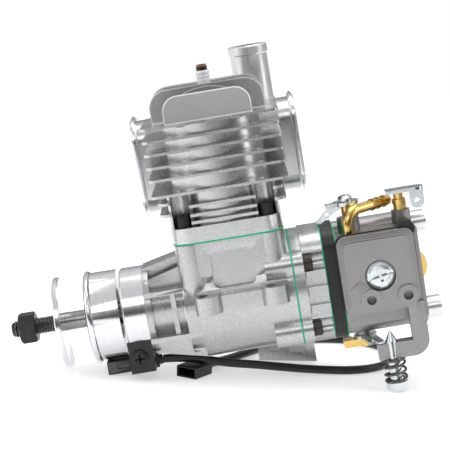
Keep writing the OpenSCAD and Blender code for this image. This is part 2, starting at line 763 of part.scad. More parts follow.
module insulator_gaskets() {
  color(green_c) {
    flange_sheet(mani_rear, ins_front, 0.3, 2.7);
    flange_sheet(ins_rear, carb_front, 0.3, 2.7);
  }
}
module insulator_block() { color(black_c) flange_sheet(ins_front, ins_rear, 0, 2.7); }

// carburettor
cover_y = -carb_half_y - 0.8;
cover_d = 5;
cover_x = carb_front + 13;
cover_z = 3.2;
cover_w = 26.4;
cover_h = 27.6;
needle_x = carb_rear - 3.8;
needle_z = 16.4;
module carb_body() {
  color(carb_c) difference() {
    union() {
      translate([carb_front, -carb_half_y, -15]) cube([carb_len, 2 * carb_half_y, 31]);
      flange_screws() xcyl(carb_front, carb_rear, 4.8);
      // shaft bosses
      translate([throttle_x, 0, 0]) zcyl(-16.6, 21, 3.9);
      translate([choke_x, 0, 0]) zcyl(-17, 20.6, 3.3);
    }
    xcyl(carb_front - 1, carb_front + 13.6, carb_bore_r);
    xcyl(carb_front + 13.5, carb_rear - 10.2, 5.6);
    xcyl(carb_rear - 10.3, carb_rear + 1, carb_bore_r);
    flange_screws() xcyl(carb_front - 1, carb_rear + 1, 2.7);
    // room for the throttle spring
    translate([throttle_x, 0, 0]) zcyl(-25, -16.6, 4.3);
    // bores of the two shafts
    translate([throttle_x, 0, 0]) zcyl(-25, 25, shaft_r + run_gap);
    translate([choke_x, 0, 0]) zcyl(-12, 25, shaft_r + run_gap);
    // socket of the fuel pipe
    translate([carb_front + 5, -10.6, 0]) zcyl(12, 18, 2 + seat_gap);
    // socket of the inlet screen cap
    translate([needle_x, 0, needle_z]) ycyl(-carb_half_y - 1, -carb_half_y + 4.6, 3 + seat_gap);
    // holes of the cover screw and the lower cover screws
    translate([cover_x, 0, cover_z - 0.6]) ycyl(-carb_half_y - 1, -7.4, 1.6 + seat_gap);
    for (a = [-1, 1], b = [-1, 1])
      translate([carb_front + 14 + a * 10.6, 0, b * 10.6])
        ycyl(carb_half_y - 5, carb_half_y + 1, 1.25 + seat_gap);
  }
}
module pump_gasket() {
  color(black_c) difference() {
    translate([cover_x, cover_y + 0.8, cover_z]) rotate([90, 0, 0])
      linear_extrude(height = 0.8) rrect(cover_w + 0.8, cover_h + 0.8, 3.4);
    translate([cover_x, 0, cover_z - 0.6]) ycyl(cover_y - 1, cover_y + 2, 1.7);
    translate([needle_x, 0, needle_z]) ycyl(cover_y - 1, cover_y + 2, 3.1);
  }
}
arm_w = 5.6;
arm_x1 = cover_x + cover_w / 2 + 0.2;
foot_top = -21.4;
foot_bot = -27;
idle_x = 49.2;
idle_y = cover_y - 2.6;
module pump_cover() {
  color(carb_c) difference() {
    union() {
      // stepped, bevelled cover
      translate([cover_x, cover_y, cover_z]) rotate([90, 0, 0]) {
        linear_extrude(height = 2.6) rrect(cover_w, cover_h, 3);
        linear_extrude(height = 3.4) rrect(cover_w - 1.2, cover_h - 1.2, 2.8);
        linear_extrude(height = 4.2) rrect(cover_w - 2.4, cover_h - 2.4, 2.4);
        linear_extrude(height = cover_d) rrect(cover_w - 3.8, cover_h - 3.8, 2);
      }
      // arm and foot that carry the idle screw
      translate([arm_x1 - arm_w, cover_y - cover_d + 0.4, foot_top - 1]) cube([arm_w, cover_d - 0.4, 14]);
      translate([arm_x1 - arm_w, cover_y - 2.3, foot_bot + arm_w])
        rotate([90, 0, 0]) cylinder(h = cover_d - 0.4, r = arm_w, center = true, $fn = 64);
      translate([idle_x - 4.9, cover_y - cover_d + 0.4, foot_bot])
        cube([arm_x1 - arm_w - idle_x + 5.4, cover_d - 0.4, foot_top - foot_bot]);
      // raised bosses and the pill-shaped pad
      translate([cover_x - 4.2, cover_y, cover_z - 8.4]) ycyl(-cover_d - 0.9, 0, 3.6);
      translate([cover_x + 8.4, cover_y, cover_z - 8.6]) ycyl(-cover_d - 0.9, 0, 3.6);
      translate([cover_x - 9, cover_y, cover_z - 2.8]) ycyl(-cover_d - 0.5, 0, 2.3);
      translate([cover_x - 9, cover_y, cover_z - 2.8]) rotate([0, 49, 0])
        translate([0, -cover_d - 0.5, -2.3]) cube([6.8, cover_d + 0.5, 4.6]);
    }
    // pocket of the big middle screw
    translate([cover_x, 0, cover_z - 0.6]) ycyl(cover_y - cover_d - 2, cover_y - 2.4, 5.3);
    translate([cover_x, 0, cover_z - 0.6]) ycyl(cover_y - 6, cover_y + 1, 1.7);
    translate([cover_x - 4.2, cover_y, cover_z - 8.4]) ycyl(-cover_d - 2, -2.6, 1.65);
    translate([cover_x + 8.4, cover_y, cover_z - 8.6]) ycyl(-cover_d - 2, -2.6, 1.65);
    // threaded hole of the idle screw
    translate([idle_x, idle_y, 0]) zcyl(foot_bot - 1, foot_top + 1, 2.25 + run_gap);
    // clearance beside the throttle stop
    translate([arm_x1 - arm_w - 9, cover_y - cover_d - 2, foot_top]) cube([9, cover_d + 3, 7.5]);
    translate([needle_x, 0, needle_z]) ycyl(cover_y - 1.2, cover_y + 1, 3.1);
  }
}
module pump_cover_screw() {
  color(zinc_c) translate([cover_x, cover_y - 2.4, cover_z - 0.6]) rotate([90, 0, 0]) difference() {
    union() {
      zcyl(-9.4, 0.1, 1.6);
      zcyl(0.02, 1.9, 4.9);
      translate([0, 0, 1.89]) cylinder(h = 1, r1 = 4.9, r2 = 3.6, $fn = 64);
    }
    // cross and slot in the head
    for (a = [0, 90]) rotate([0, 0, a + 12]) translate([-2.2, -0.45, 1.1]) cube([4.4, 0.9, 3]);
    rotate([0, 0, 12]) translate([-6, -0.5, 2.1]) cube([12, 1, 2]);
  }
}
module metering_cover() {
  y0 = carb_half_y;
  color(carb_c) difference() {
    union() {
      translate([carb_front + 14, y0 + 3.6, 0]) rotate([90, 0, 0])
        linear_extrude(height = 3.06) rrect(26, 27, 3);
      translate([carb_front + 14, 0, 0]) ycyl(y0 + 3, y0 + 5, 8);
    }
    translate([carb_front + 14, 0, 0]) ycyl(y0, y0 + 6, 1);
    for (a = [-1, 1], b = [-1, 1])
      translate([carb_front + 14 + a * 10.6, 0, b * 10.6]) ycyl(y0 - 1, y0 + 6, 1.4);
  }
}
module metering_gasket() {
  y0 = carb_half_y;
  color(black_c) difference() {
    translate([carb_front + 14, y0 + 0.52, 0]) rotate([90, 0, 0])
      linear_extrude(height = 0.5) rrect(26.4, 27.4, 3);
    for (a = [-1, 1], b = [-1, 1])
      translate([carb_front + 14 + a * 10.6, 0, b * 10.6]) ycyl(y0 - 1, y0 + 6, 1.4);
  }
}
module metering_screws() {
  color(zinc_c) for (a = [-1, 1], b = [-1, 1])
    translate([carb_front + 14 + a * 10.6, carb_half_y + 3.62, b * 10.6]) rotate([-90, 0, 0])
      cap_screw(1.25, 7.6, 2.4, 1.8);
}
module carb_screws() {
  color(zinc_c) flange_screws() translate([carb_rear + seat_gap, 0, 0]) rotate([0, 90, 0])
    cap_screw(2.5, 38.6, 4, 5.3);
}
module fuel_elbow() {
  // pipe that rises, bends and runs back over the body; three barbs at its end
  ang = 40;
  bend = 5;
  color(brass_c) translate([carb_front + 5, -10.6, 0]) difference() {
    union() {
      zcyl(12.4, 19.2, 2);
      zcyl(16, 17, 2.5);
      rotate([0, 0, ang]) {
        translate([bend, 0, 19.19]) rotate([90, 0, 0]) rotate([0, 0, 90])
          rotate_extrude(angle = 90, $fn = 96) translate([bend, 0]) circle(r = 2, $fn = 32);
        translate([0, 0, 19.2 + bend]) xcyl(bend - 0.01, 21, 1.75);
        for (i = [0:2]) translate([12.6 + i * 2.8, 0, 19.2 + bend]) rotate([0, 90, 0])
          cylinder(h = 2.6, r1 = 2.15, r2 = 1.8, $fn = 48);
      }
    }
    zcyl(12, 19.2, 1.1);
    rotate([0, 0, ang]) translate([0, 0, 19.2 + bend]) xcyl(bend, 22, 1.1);
  }
}
module screen_cap() {
  color(black_c) translate([needle_x, 0, needle_z]) ycyl(cover_y - 1.1, -carb_half_y + 4.5, 3);
}
// pan head screw that holds a lever or plate, head above z = 0
module pan_screw(r, len, hr, hh) {
  difference() {
    union() {
      zcyl(-len, 0.1, r);
      zcyl(0, hh * 0.6, hr);
      translate([0, 0, hh * 0.59]) cylinder(h = hh * 0.4, r1 = hr, r2 = hr * 0.7, $fn = 48);
    }
    for (a = [0, 90]) rotate([0, 0, a]) translate([-hr * 0.6, -0.25, hh * 0.5]) cube([hr * 1.2, 0.5, hh]);
  }
}
lever_t = 1.2;
arm_z = 25.4;
module throttle_shaft() {
  color(brass_c) translate([throttle_x, 0, 0]) difference() {
    union() {
      zcyl(-24.4, arm_z, shaft_r);
      zcyl(-25.6, -23.2, 2.6);
      translate([-8, -2.2, -25.4]) cube([8, 4.4, 2.7]);
    }
    // flat slot that holds the throttle plate
    translate([-0.41, -6, -6.72]) cube([0.82, 12, 13.44]);
    zcyl(arm_z - 5, arm_z + 1, 1 + seat_gap);
  }
}
module throttle_plate() {
  color(brass_c) translate([throttle_x, 0, 0]) xcyl(-0.4, 0.4, carb_bore_r - 0.12);
}
module throttle_arm() {
  color(zinc_c) translate([throttle_x, 0, arm_z + seat_gap]) {
    difference() {
      union() {
        zcyl(0, lever_t, 4.7);
        translate([-7.4, -3.4, 0]) cube([8, 3.4, lever_t]);
      }
      zcyl(-1, lever_t + 1, 1 + seat_gap);
    }
    // triangular flange bent down beside the shaft, with a pivot hole
    difference() {
      translate([0, -3.4 + lever_t, lever_t]) rotate([90, 0, 0]) linear_extrude(height = lever_t)
        polygon([[1, 0], [-5, 0], [-11.4, -5.6], [-9.9, -6.3]]);
      translate([-7.2, 0, lever_t - 3.33]) ycyl(-6, 0, 0.7);
    }
  }
}
module throttle_arm_screw() {
  color(zinc_c) translate([throttle_x, 0, arm_z + lever_t + 2 * seat_gap]) pan_screw(1, 4.6, 2.6, 2);
}
stop_z = foot_top - 1.2;
stop_turn = -78;
module throttle_stop_lever() {
  color(zinc_c) translate([throttle_x, 0, stop_z]) difference() {
    union() {
      zcyl(0, lever_t - 0.1, 4.2);
      rotate([0, 0, stop_turn]) {
        translate([0, -2.6, 0]) cube([13.4, 5.2, lever_t - 0.1]);
        translate([6, -1.6, 0]) cube([13.4 - 6, 3.2, 2]);
        // tongue that meets the tip of the idle screw
        translate([11.4, -1.2, 1.3]) cube([8.2, 2.4, 0.7]);
      }
    }
    zcyl(-1, 8, shaft_r + seat_gap);
  }
}
// open coil made of stacked rings of round wire
module coil(r, wire, z0, z1, n) {
  for (i = [0:n - 1])
    translate([0, 0, z0 + wire + (z1 - z0 - 2 * wire) * i / (n - 1)])
      rotate_extrude($fn = 64) translate([r - wire, 0]) circle(r = wire, $fn = 16);
  // straight wire that carries the rings
  translate([r - wire, 0, 0]) zcyl(z0 + wire, z1 - wire, wire * 0.7);
}
module throttle_spring() {
  color(zinc_c) translate([throttle_x, 0, 0]) rotate([0, 0, 110])
    coil(3.6, 0.32, stop_z + lever_t - 0.05, -16.63, 7);
}
choke_lever_z = 26.7;
module choke_shaft() {
  color(brass_c) translate([choke_x, 0, 0]) difference() {
    union() {
      zcyl(-11.6, choke_lever_z - 2.2, shaft_r);
      zcyl(20.64, choke_lever_z - 2.2, 2.4);
      zcyl(choke_lever_z - 2.3, choke_lever_z, 1.7);
    }
    translate([-6, -0.41, -6.7]) cube([12, 0.82, 13.4]);
  }
}
module choke_plate() {
  color(brass_c) translate([choke_x, 0, 0]) difference() {
    ycyl(-0.4, 0.4, carb_bore_r - 0.14);
  }
}
module choke_lever() {
  color(zinc_c) translate([choke_x, 0, choke_lever_z]) difference() {
    union() {
      translate([-4.4, -3.2, seat_gap]) cube([10.2, 6.4, lever_t]);
      translate([5.8, 0, seat_gap]) zcyl(0, lever_t, 3.2);
      translate([3.6, -3.2, -3.6]) cube([5, lever_t, 3.8 + seat_gap]);
      translate([6.1, 0, -3.6]) ycyl(-3.2, -3.2 + lever_t, 2.5);
    }
    translate([6.1, 0, -3.4]) ycyl(-5, 0, 0.9);
  }
}
idle_head = -35.4;
module idle_screw() {
  color(zinc_c) translate([idle_x, idle_y, 0]) {
    translate([0, 0, foot_top + 0.5]) cylinder(h = 3.6, r1 = 2, r2 = 0.2, $fn = 48);
    difference() {
      union() {
        zcyl(idle_head - 0.1, foot_top + 0.51, 2.25);
        zcyl(idle_head - 2.2, idle_head, 3.75);
        translate([0, 0, idle_head - 3.6]) cylinder(h = 1.41, r1 = 2.5, r2 = 3.75, $fn = 64);
      }
      translate([-5, -0.5, idle_head - 4.5]) cube([10, 1, 1.9]);
    }
  }
}
module idle_spring() {
  color(steel_c) translate([idle_x, idle_y, 0]) coil(4.1, 0.45, idle_head + 0.02, foot_bot - 0.02, 4);
}

// ignition sensor
sens_y = -6;
sens_x = nose_front - 5;
sens_top = -15.75;
sens_h = 4.6;
brk_y = -13.2;
sscrew_z = -14.3;
module sensor_bracket() {
  color(black_c) difference() {
    translate([sens_x - 3.8, brk_y, -19.6]) cube([8.6, sens_y - 0.1 - brk_y, 12]);
    xcyl(sens_x - 8, sens_x + 16, 15.5 + seat_gap);
    translate([sens_x, 0, sscrew_z]) ycyl(brk_y - 1, -6, 1.1);
  }
}
module sensor_screw() {
  color(black_c) translate([sens_x, brk_y - seat_gap, sscrew_z]) rotate([90, 0, 0])
    pan_screw(1, 4.9, 2.9, 1.5);
}
module sensor_body() {
  color(black_c) difference() {
    union() {
      translate([sens_x - 12.7, sens_y, sens_top - sens_h]) cube([18.3, 6.4, sens_h]);
      // collar that the cable leaves by
      translate([0, sens_y + 3, -18.2]) xcyl(sens_x + 5, sens_x + 6.85, 1.8);
    }
    // recessed face of the sensing window
    translate([sens_x - 9, sens_y - 1, -18.6]) cube([4.2, 1.3, 1.6]);
  }
}

// cable and plug
cable_r = 1.5;
cable_end = [-17.2, 1.6, -24.5];
cable_route = [
  [sens_x + 7, -3, -18.2], [-26.5, -3, -18.6], [-22, -3, -19.3], [-17, -3, -20.4],
  [-12.5, -3, -22], [-6, -3, -23.9], [1, -2.8, -25.6], [9, -2, -27.9],
  [17, 0, -30.5], [26, 2.2, -33.1], [34.5, 2.8, -34.8], [42, 5.8, -36.2],
  [47.8, 11.9, -37.3], [51, 20.5, -37.9], [51.5, 30.5, -38], [48, 39.5, -37.3],
  [41, 46, -36], [32, 48.5, -34.3], [22, 47, -32.4], [13, 42, -30.7],
  [6, 35, -29.4], [0.5, 27, -28.3], [-4.1, 20.4, -27.4], [-7.5, 15.7, -26.75],
  [-10.5, 11.5, -26.05], [-13.1, 7.7, -25.3], [-15.6, 4.12, -24.8], cable_end];
// tube of eight sides along a list of points
module sweep(pts, r, n = 8) {
  last = len(pts) - 1;
  function unit(v) = v / norm(v);
  rings = [for (i = [0:last])
    let (t = unit(pts[min(i + 1, last)] - pts[max(i - 1, 0)]),
         side = unit(cross(t, [0, 0, 1])),
         up = cross(side, t))
    [for (k = [0:n - 1]) pts[i] + r * (cos(360 * k / n) * side + sin(360 * k / n) * up)]];
  polyhedron(
    points = [for (ring = rings) for (p = ring) p],
    faces = concat(
      [[for (k = [0:n - 1]) k]],
      [for (i = [0:last - 1]) for (k = [0:n - 1])
        [i * n + k, (i + 1) * n + k, (i + 1) * n + (k + 1) % n, i * n + (k + 1) % n]],
      [[for (k = [n - 1:-1:0]) last * n + k]]));
}
module sensor_cable() { color(black_c) sweep(cable_route, cable_r); }
plug_turn = 237;
module cable_plug() {
  // three-pin plug lying on the table, open at its front end
  color(black_c) translate(cable_end) rotate([0, atan(table_slope), 0])
  rotate([0, 0, plug_turn]) difference() {
    union() {
      translate([0.05, -4.1, -2]) cube([10.4, 8.2, 4]);
      translate([0.05, -2.6, -2]) cube([3.6, 5.2, 4.4]);
    }
    translate([4, -3.4, -1.4]) cube([8, 6.8, 2.8]);
    translate([5.4, -4.6, 0.2]) cube([3.4, 1, 1]);
  }
}

crankcase();
nose_ring();
bearing_races();
bearing_inners();
bearing_ball_sets();
crankshaft();
prop_hub();
hub_magnet();
prop_washer();
prop_nut();
piston();
piston_ring();
gudgeon_pin();
con_rod();
crank_pin();
cylinder_body();
cylinder_gasket();
cylinder_screws();
plug_shell();
plug_washer();
plug_insulator();
plug_terminal();
silencer_body();
silencer_caps();
exhaust_pipe();
exhaust_gasket();
rear_gasket();
rear_cover();
intake_manifold();
reed_block();
manifold_screws();
insulator_gaskets();
insulator_block();
carb_body();
pump_gasket();
pump_cover();
pump_cover_screw();
metering_cover();
metering_gasket();
metering_screws();
carb_screws();
fuel_elbow();
screen_cap();
throttle_shaft();
throttle_plate();
throttle_arm();
throttle_arm_screw();
throttle_stop_lever();
throttle_spring();
choke_shaft();
choke_plate();
choke_lever();
idle_screw();
idle_spring();
sensor_bracket();
sensor_screw();
sensor_body();
sensor_cable();
cable_plug();
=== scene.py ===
"""Finishes, cable, light and camera for a model aircraft engine that lies on a white table."""

import json
import logging
import math
from dataclasses import dataclass
from enum import Enum
from typing import Dict, List, Optional, Sequence, Tuple, Union

import bmesh
import bpy
from mathutils import Matrix, Vector


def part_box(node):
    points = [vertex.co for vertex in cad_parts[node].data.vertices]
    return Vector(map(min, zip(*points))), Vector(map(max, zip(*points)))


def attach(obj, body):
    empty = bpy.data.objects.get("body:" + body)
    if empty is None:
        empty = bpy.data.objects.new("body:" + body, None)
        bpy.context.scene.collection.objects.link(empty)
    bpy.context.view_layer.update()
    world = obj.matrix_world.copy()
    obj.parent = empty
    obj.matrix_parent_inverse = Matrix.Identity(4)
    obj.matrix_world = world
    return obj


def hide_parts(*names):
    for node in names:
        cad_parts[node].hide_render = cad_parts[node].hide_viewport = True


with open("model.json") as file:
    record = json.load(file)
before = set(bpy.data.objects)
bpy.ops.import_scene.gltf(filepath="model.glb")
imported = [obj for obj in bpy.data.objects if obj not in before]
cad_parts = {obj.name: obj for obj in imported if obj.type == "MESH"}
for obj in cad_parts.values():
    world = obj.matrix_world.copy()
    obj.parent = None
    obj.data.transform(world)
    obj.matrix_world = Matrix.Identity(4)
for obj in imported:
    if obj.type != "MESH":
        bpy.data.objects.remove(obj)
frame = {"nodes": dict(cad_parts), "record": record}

LOG = logging.getLogger("engine_scene")
MM = 0.001
IMAGE_PX = 450
SENSOR_MM = 36.0

Colour = Tuple[float, float, float]
Point = Tuple[float, float, float]


# shader maths
class Sock:
    """A node output that can be added, scaled and mixed as a plain value.

    Args:
        graph: the node tree that it belongs to.
        node: the node.
        output: name or place of the output.
    """

    def __init__(self, graph: "Graph", node: bpy.types.Node, output: Union[str, int] = 0) -> None:
        self.graph = graph
        self.node = node
        self.output = output

    @property
    def socket(self) -> bpy.types.NodeSocket:
        """The output socket itself."""
        return self.node.outputs[self.output]

    def out(self, output: Union[str, int]) -> "Sock":
        """Another output of the same node."""
        return Sock(self.graph, self.node, output)

    def _math(self, kind: str, first: "Value", second: "Value") -> "Sock":
        return self.graph.add("ShaderNodeMath", {"operation": kind}, {0: first, 1: second})

    def __add__(self, other: "Value") -> "Sock":
        return self._math("ADD", self, other)

    def __radd__(self, other: "Value") -> "Sock":
        return self._math("ADD", other, self)

    def __mul__(self, other: "Value") -> "Sock":
        return self._math("MULTIPLY", self, other)

    def __rmul__(self, other: "Value") -> "Sock":
        return self._math("MULTIPLY", other, self)

    def larger(self, other: "Value") -> "Sock":
        """The larger of this value and another."""
        return self._math("MAXIMUM", self, other)

    def band(self, low: float, high: float, start: float = 0.0, end: float = 1.0) -> "Sock":
        """Maps the value's stretch from low to high onto start to end, and clamps it."""
        values = {"Value": self, "From Min": low, "From Max": high, "To Min": start, "To Max": end}
        return self.graph.add("ShaderNodeMapRange", {"clamp": True}, values)


Value = Union[Sock, float, Sequence[float]]


class Graph:
    """Node tree of one material or world.

    Args:
        owner: the material or world.
    """

    def __init__(self, owner: Union[bpy.types.Material, bpy.types.World]) -> None:
        owner.use_nodes = True
        self.tree = owner.node_tree
        self.tree.nodes.clear()

    def add(
        self,
        kind: str,
        settings: Optional[Dict[str, object]] = None,
        values: Optional[Dict[Union[str, int], Value]] = None,
        output: Union[str, int] = 0,
    ) -> Sock:
        """Makes one node.

        Args:
            kind: type of the node.
            settings: its properties, set first.
            values: values or links of its inputs.
            output: the output that is handed back.

        Returns:
            The wrapped output.
        """
        node = self.tree.nodes.new(kind)
        for name, setting in (settings or {}).items():
            setattr(node, name, setting)
        for name, value in (values or {}).items():
            self._feed(node.inputs[name], value)
        return Sock(self, node, output)

    def _feed(self, socket: bpy.types.NodeSocket, value: Value) -> None:
        if isinstance(value, Sock):
            self.tree.links.new(value.socket, socket)
        elif isinstance(value, (tuple, list)) and len(value) == 3 and socket.type == "RGBA":
            socket.default_value = (*value, 1.0)
        else:
            socket.default_value = value

    def place(self, stretch: Point = (1.0, 1.0, 1.0)) -> Sock:
        """Object coordinates, stretched."""
        coords = self.add("ShaderNodeTexCoord", output="Object")
        return self.add("ShaderNodeMapping", None, {"Vector": coords, "Scale": stretch})

    def noise(self, where: Sock, scale: float, detail: float = 3.0, rough: float = 0.55) -> Sock:
        """Noise from 0 to 1 at a scale in cells a metre."""
        values = {"Vector": where, "Scale": scale, "Detail": detail, "Roughness": rough}
        return self.add("ShaderNodeTexNoise", None, values, "Fac")

    def mix(self, factor: Value, first: Value, second: Value) -> Sock:
        """Mixes two colours."""
        return self.add("ShaderNodeMix", {"data_type": "RGBA"}, {0: factor, 6: first, 7: second}, 2)

    def bump(self, height: Sock, depth: float) -> Sock:
        """Normal of a surface whose height varies by depth metres."""
        return self.add("ShaderNodeBump", None, {"Strength": 1.0, "Distance": depth, "Height": height})

    def surface(self, **values: Value) -> None:
        """Ends the tree in one Principled surface."""
        named = {name.replace("_", " "): value for name, value in values.items()}
        shader = self.add("ShaderNodeBsdfPrincipled", None, named)
        self.add("ShaderNodeOutputMaterial", None, {"Surface": shader})


def shade(colour: Colour, factor: float) -> Colour:
    """A colour made darker or lighter by a factor."""
    return tuple(min(1.0, part * factor) for part in colour)


# how many cells a metre the softer patterns of the finishes have
CAST_STAINS = 110.0
TURNED_HAZE = 1500.0
PLATED_STAINS = 420.0
PLATED_PITS = 3400.0
MOULDED_HAZE = 160.0


# finishes
@dataclass(frozen=True)
class CastFinish:
    """Blasted or as-cast metal: grains, soft stains, slightly uneven gloss.

    Args:
        colour: base colour of the metal.
        roughness: middle roughness.
        grain: grains a metre.
        depth: depth of the grain in metres.
        speckle: how far single grains are lighter or darker.
        stain: how far the colour darkens in stains.
        metallic: share of metal reflection.
        wear_and_edge_sheen: share of metal reflection on the rounded edges, whose lighter colour is a painted
            highlight.
    """

    colour: Colour
    roughness: float = 0.4
    grain: float = 2300.0
    depth: float = 0.00009
    speckle: float = 0.24
    stain: float = 0.12
    metallic: float = 0.92
    wear_and_edge_sheen: float = 0.6

    def build(self, graph: Graph) -> None:
        """Fills a material's tree."""
        where = graph.place()
        fine = graph.noise(where, self.grain, 2.0, 0.7)
        cloud = graph.noise(where, CAST_STAINS, 4.0, 0.6)
        wear_and_edge_sheen = graph.mix(cloud.band(0.35, 0.65), shade(self.colour, 1 - self.stain), self.colour)
        dark, light = shade(self.colour, 1 - self.speckle), shade(self.colour, 1 + self.speckle)
        grains = graph.mix(fine.band(0.32, 0.68), dark, light)
        graph.surface(
            Base_Color=graph.mix(0.55, wear_and_edge_sheen, grains),
            Metallic=self.metallic,
            Roughness=cloud.band(0.3, 0.7, self.roughness - 0.05, self.roughness + 0.07),
            Normal=graph.bump(fine, self.depth),
        )

    def edge(self) -> "PlatedFinish":
        """Lighter copy of the cast metal for the rounded edges: a painted highlight."""
        # painted highlight: the edge colours are lighter copies of the metal's own colour
        bright, dull = shade(self.colour, 1.7), shade(self.colour, 1.5)
        return PlatedFinish(bright, dull, roughness=0.24, metallic=self.wear_and_edge_sheen)


class Axis(Enum):
    """Axis that a part was turned about, as the stretch of its ring pattern."""

    X = (1.0, 0.02, 0.02)
    Z = (0.02, 0.02, 1.0)


@dataclass(frozen=True)
class TurnedFinish:
    """Lathe-turned metal with fine rings about one axis.

    Args:
        colour: base colour of the metal.
        roughness: middle roughness.
        axis: axis of the lathe.
        rings: rings a metre.
        depth: depth of a ring in metres.
        tone: how far single rings are darker.
    """

    colour: Colour
    roughness: float = 0.3
    axis: Axis = Axis.X
    rings: float = 5200.0
    depth: float = 0.000012
    tone: float = 0.08

    def build(self, graph: Graph) -> None:
        """Fills a material's tree."""
        rings = graph.noise(graph.place(self.axis.value), self.rings, 2.0, 0.6)
        cloud = graph.noise(graph.place(), TURNED_HAZE, 3.0)
        graph.surface(
            Base_Color=graph.mix(rings.band(0.35, 0.65), shade(self.colour, 1 - self.tone), self.colour),
            Metallic=1.0,
            Roughness=rings * 0.08 + cloud * 0.08 + (self.roughness - 0.08),
            Normal=graph.bump(rings, self.depth),
        )

    def edge(self) -> "PlatedFinish":
        """Lighter copy of the turned metal for the rounded edges: a painted highlight."""
        return PlatedFinish(shade(self.colour, 1.1), self.colour, roughness=0.16)


@dataclass(frozen=True)
class PlatedFinish:
    """Smooth plated or bright metal with faint stains and pits.

    Args:
        colour: base colour.
        tint: colour of the stains.
        roughness: middle roughness.
        metallic: share of metal reflection.
    """

    colour: Colour
    tint: Colour
    roughness: float = 0.25
    metallic: float = 1.0

    def build(self, graph: Graph) -> None:
        """Fills a material's tree."""
        where = graph.place()
        cloud = graph.noise(where, PLATED_STAINS, 5.0, 0.65)
        pits = graph.noise(where, PLATED_PITS, 2.0)
        graph.surface(
            Base_Color=graph.mix(cloud.band(0.38, 0.66), self.colour, self.tint),
            Metallic=self.metallic,
            Roughness=cloud.band(0.3, 0.7, self.roughness - 0.05, self.roughness + 0.09),
            Normal=graph.bump(pits, 0.00001),
        )

    def edge(self) -> "PlatedFinish":
        """Lighter copy of the plating for the rounded edges: a painted highlight."""
        return PlatedFinish(shade(self.colour, 1.3), self.colour, self.roughness * 0.8, self.metallic)


@dataclass(frozen=True)
class MouldedFinish:
    """Plastic, rubber, paper or ceramic with a fine moulded grain.

    Args:
        colour: base colour.
        roughness: middle roughness.
        grain: grains a metre.
        depth: depth of the grain in metres.
        coat: clear gloss on top.
    """

    colour: Colour
    roughness: float = 0.5
    grain: float = 1800.0
    depth: float = 0.00002
    coat: float = 0.0

    def build(self, graph: Graph) -> None:
        """Fills a material's tree."""
        where = graph.place()
        grain = graph.noise(where, self.grain, 3.0)
        cloud = graph.noise(where, MOULDED_HAZE, 3.0)
        lighter = tuple(min(1.0, part * 1.25 + 0.004) for part in self.colour)
        graph.surface(
            Base_Color=graph.mix(cloud.band(0.3, 0.7), self.colour, lighter),
            Metallic=0.0,
            Roughness=cloud.band(0.3, 0.7, self.roughness - 0.06, self.roughness + 0.08),
            Coat_Weight=self.coat,
            Normal=graph.bump(grain, self.depth),
        )

    def edge(self) -> "MouldedFinish":
        """The same finish, a little smoother, on the edges."""
        return MouldedFinish(self.colour, self.roughness * 0.85, self.grain, self.depth, self.coat)


Finish = Union[CastFinish, TurnedFinish, PlatedFinish, MouldedFinish]

# the record's material slots, then the finishes of single patches
FINISHES: Dict[str, Finish] = {
    "blasted_casting": CastFinish(
        (0.50, 0.503, 0.51), roughness=0.29, speckle=0.34, depth=0.00002, metallic=0.94
    ),
    "cylinder_casting": CastFinish(
        (0.60, 0.602, 0.61), roughness=0.25, speckle=0.24, depth=0.00001, stain=0.2, metallic=0.9, wear_and_edge_sheen=0.2
    ),
    "machined_alloy": TurnedFinish((0.78, 0.785, 0.80), roughness=0.17, depth=0.000006),
    "shaft_steel": TurnedFinish((0.34, 0.335, 0.33), roughness=0.27, tone=0.3),
    "bearing_steel": TurnedFinish((0.62, 0.62, 0.62), roughness=0.22),
    "black_oxide": PlatedFinish((0.016, 0.016, 0.017), (0.03, 0.029, 0.028), roughness=0.33, metallic=0.4),
    "brown_screws": PlatedFinish((0.03, 0.022, 0.018), (0.06, 0.045, 0.038), roughness=0.35, metallic=0.4),
    "zinc_plate": PlatedFinish((0.62, 0.68, 0.73), (0.72, 0.74, 0.70), roughness=0.2),
    "silver_screws": TurnedFinish((0.74, 0.745, 0.74), roughness=0.3, rings=3000.0),
    "brass": PlatedFinish((0.72, 0.46, 0.13), (0.80, 0.58, 0.22), roughness=0.2),
    "copper_cap": PlatedFinish((0.30, 0.13, 0.06), (0.20, 0.09, 0.045), roughness=0.35, metallic=0.8),
    "white_ceramic": MouldedFinish((0.86, 0.86, 0.85), roughness=0.3, coat=0.6),
    "green_gasket": MouldedFinish((0.012, 0.50, 0.235), roughness=0.5, grain=4000.0),
    "black_plastic": MouldedFinish((0.010, 0.010, 0.010), roughness=0.42, depth=0.00003),
    "black_rubber": MouldedFinish((0.008, 0.008, 0.008), roughness=0.33),
    "carb_casting": CastFinish(
        (0.36, 0.35, 0.35), roughness=0.38, grain=3000.0, speckle=0.14, stain=0.1, metallic=0.85
    ),
    "dark_spring": PlatedFinish((0.10, 0.09, 0.085), (0.2, 0.18, 0.17), roughness=0.25),
    "blasted_face": CastFinish(
        (0.45, 0.453, 0.46), roughness=0.55, grain=2100.0, speckle=0.34, depth=0.00012, metallic=0.45
    ),
    "satin_tube": CastFinish((0.74, 0.745, 0.755), roughness=0.3, speckle=0.16, depth=0.00003, metallic=0.6),
    "black_thread": PlatedFinish((0.014, 0.014, 0.014), (0.03, 0.028, 0.026), roughness=0.34, metallic=0.5),
    "black_neck": PlatedFinish((0.02, 0.02, 0.02), (0.035, 0.03, 0.03), roughness=0.4, metallic=0.3),
    "sensor_window": MouldedFinish((0.10, 0.10, 0.105), roughness=0.4),
}


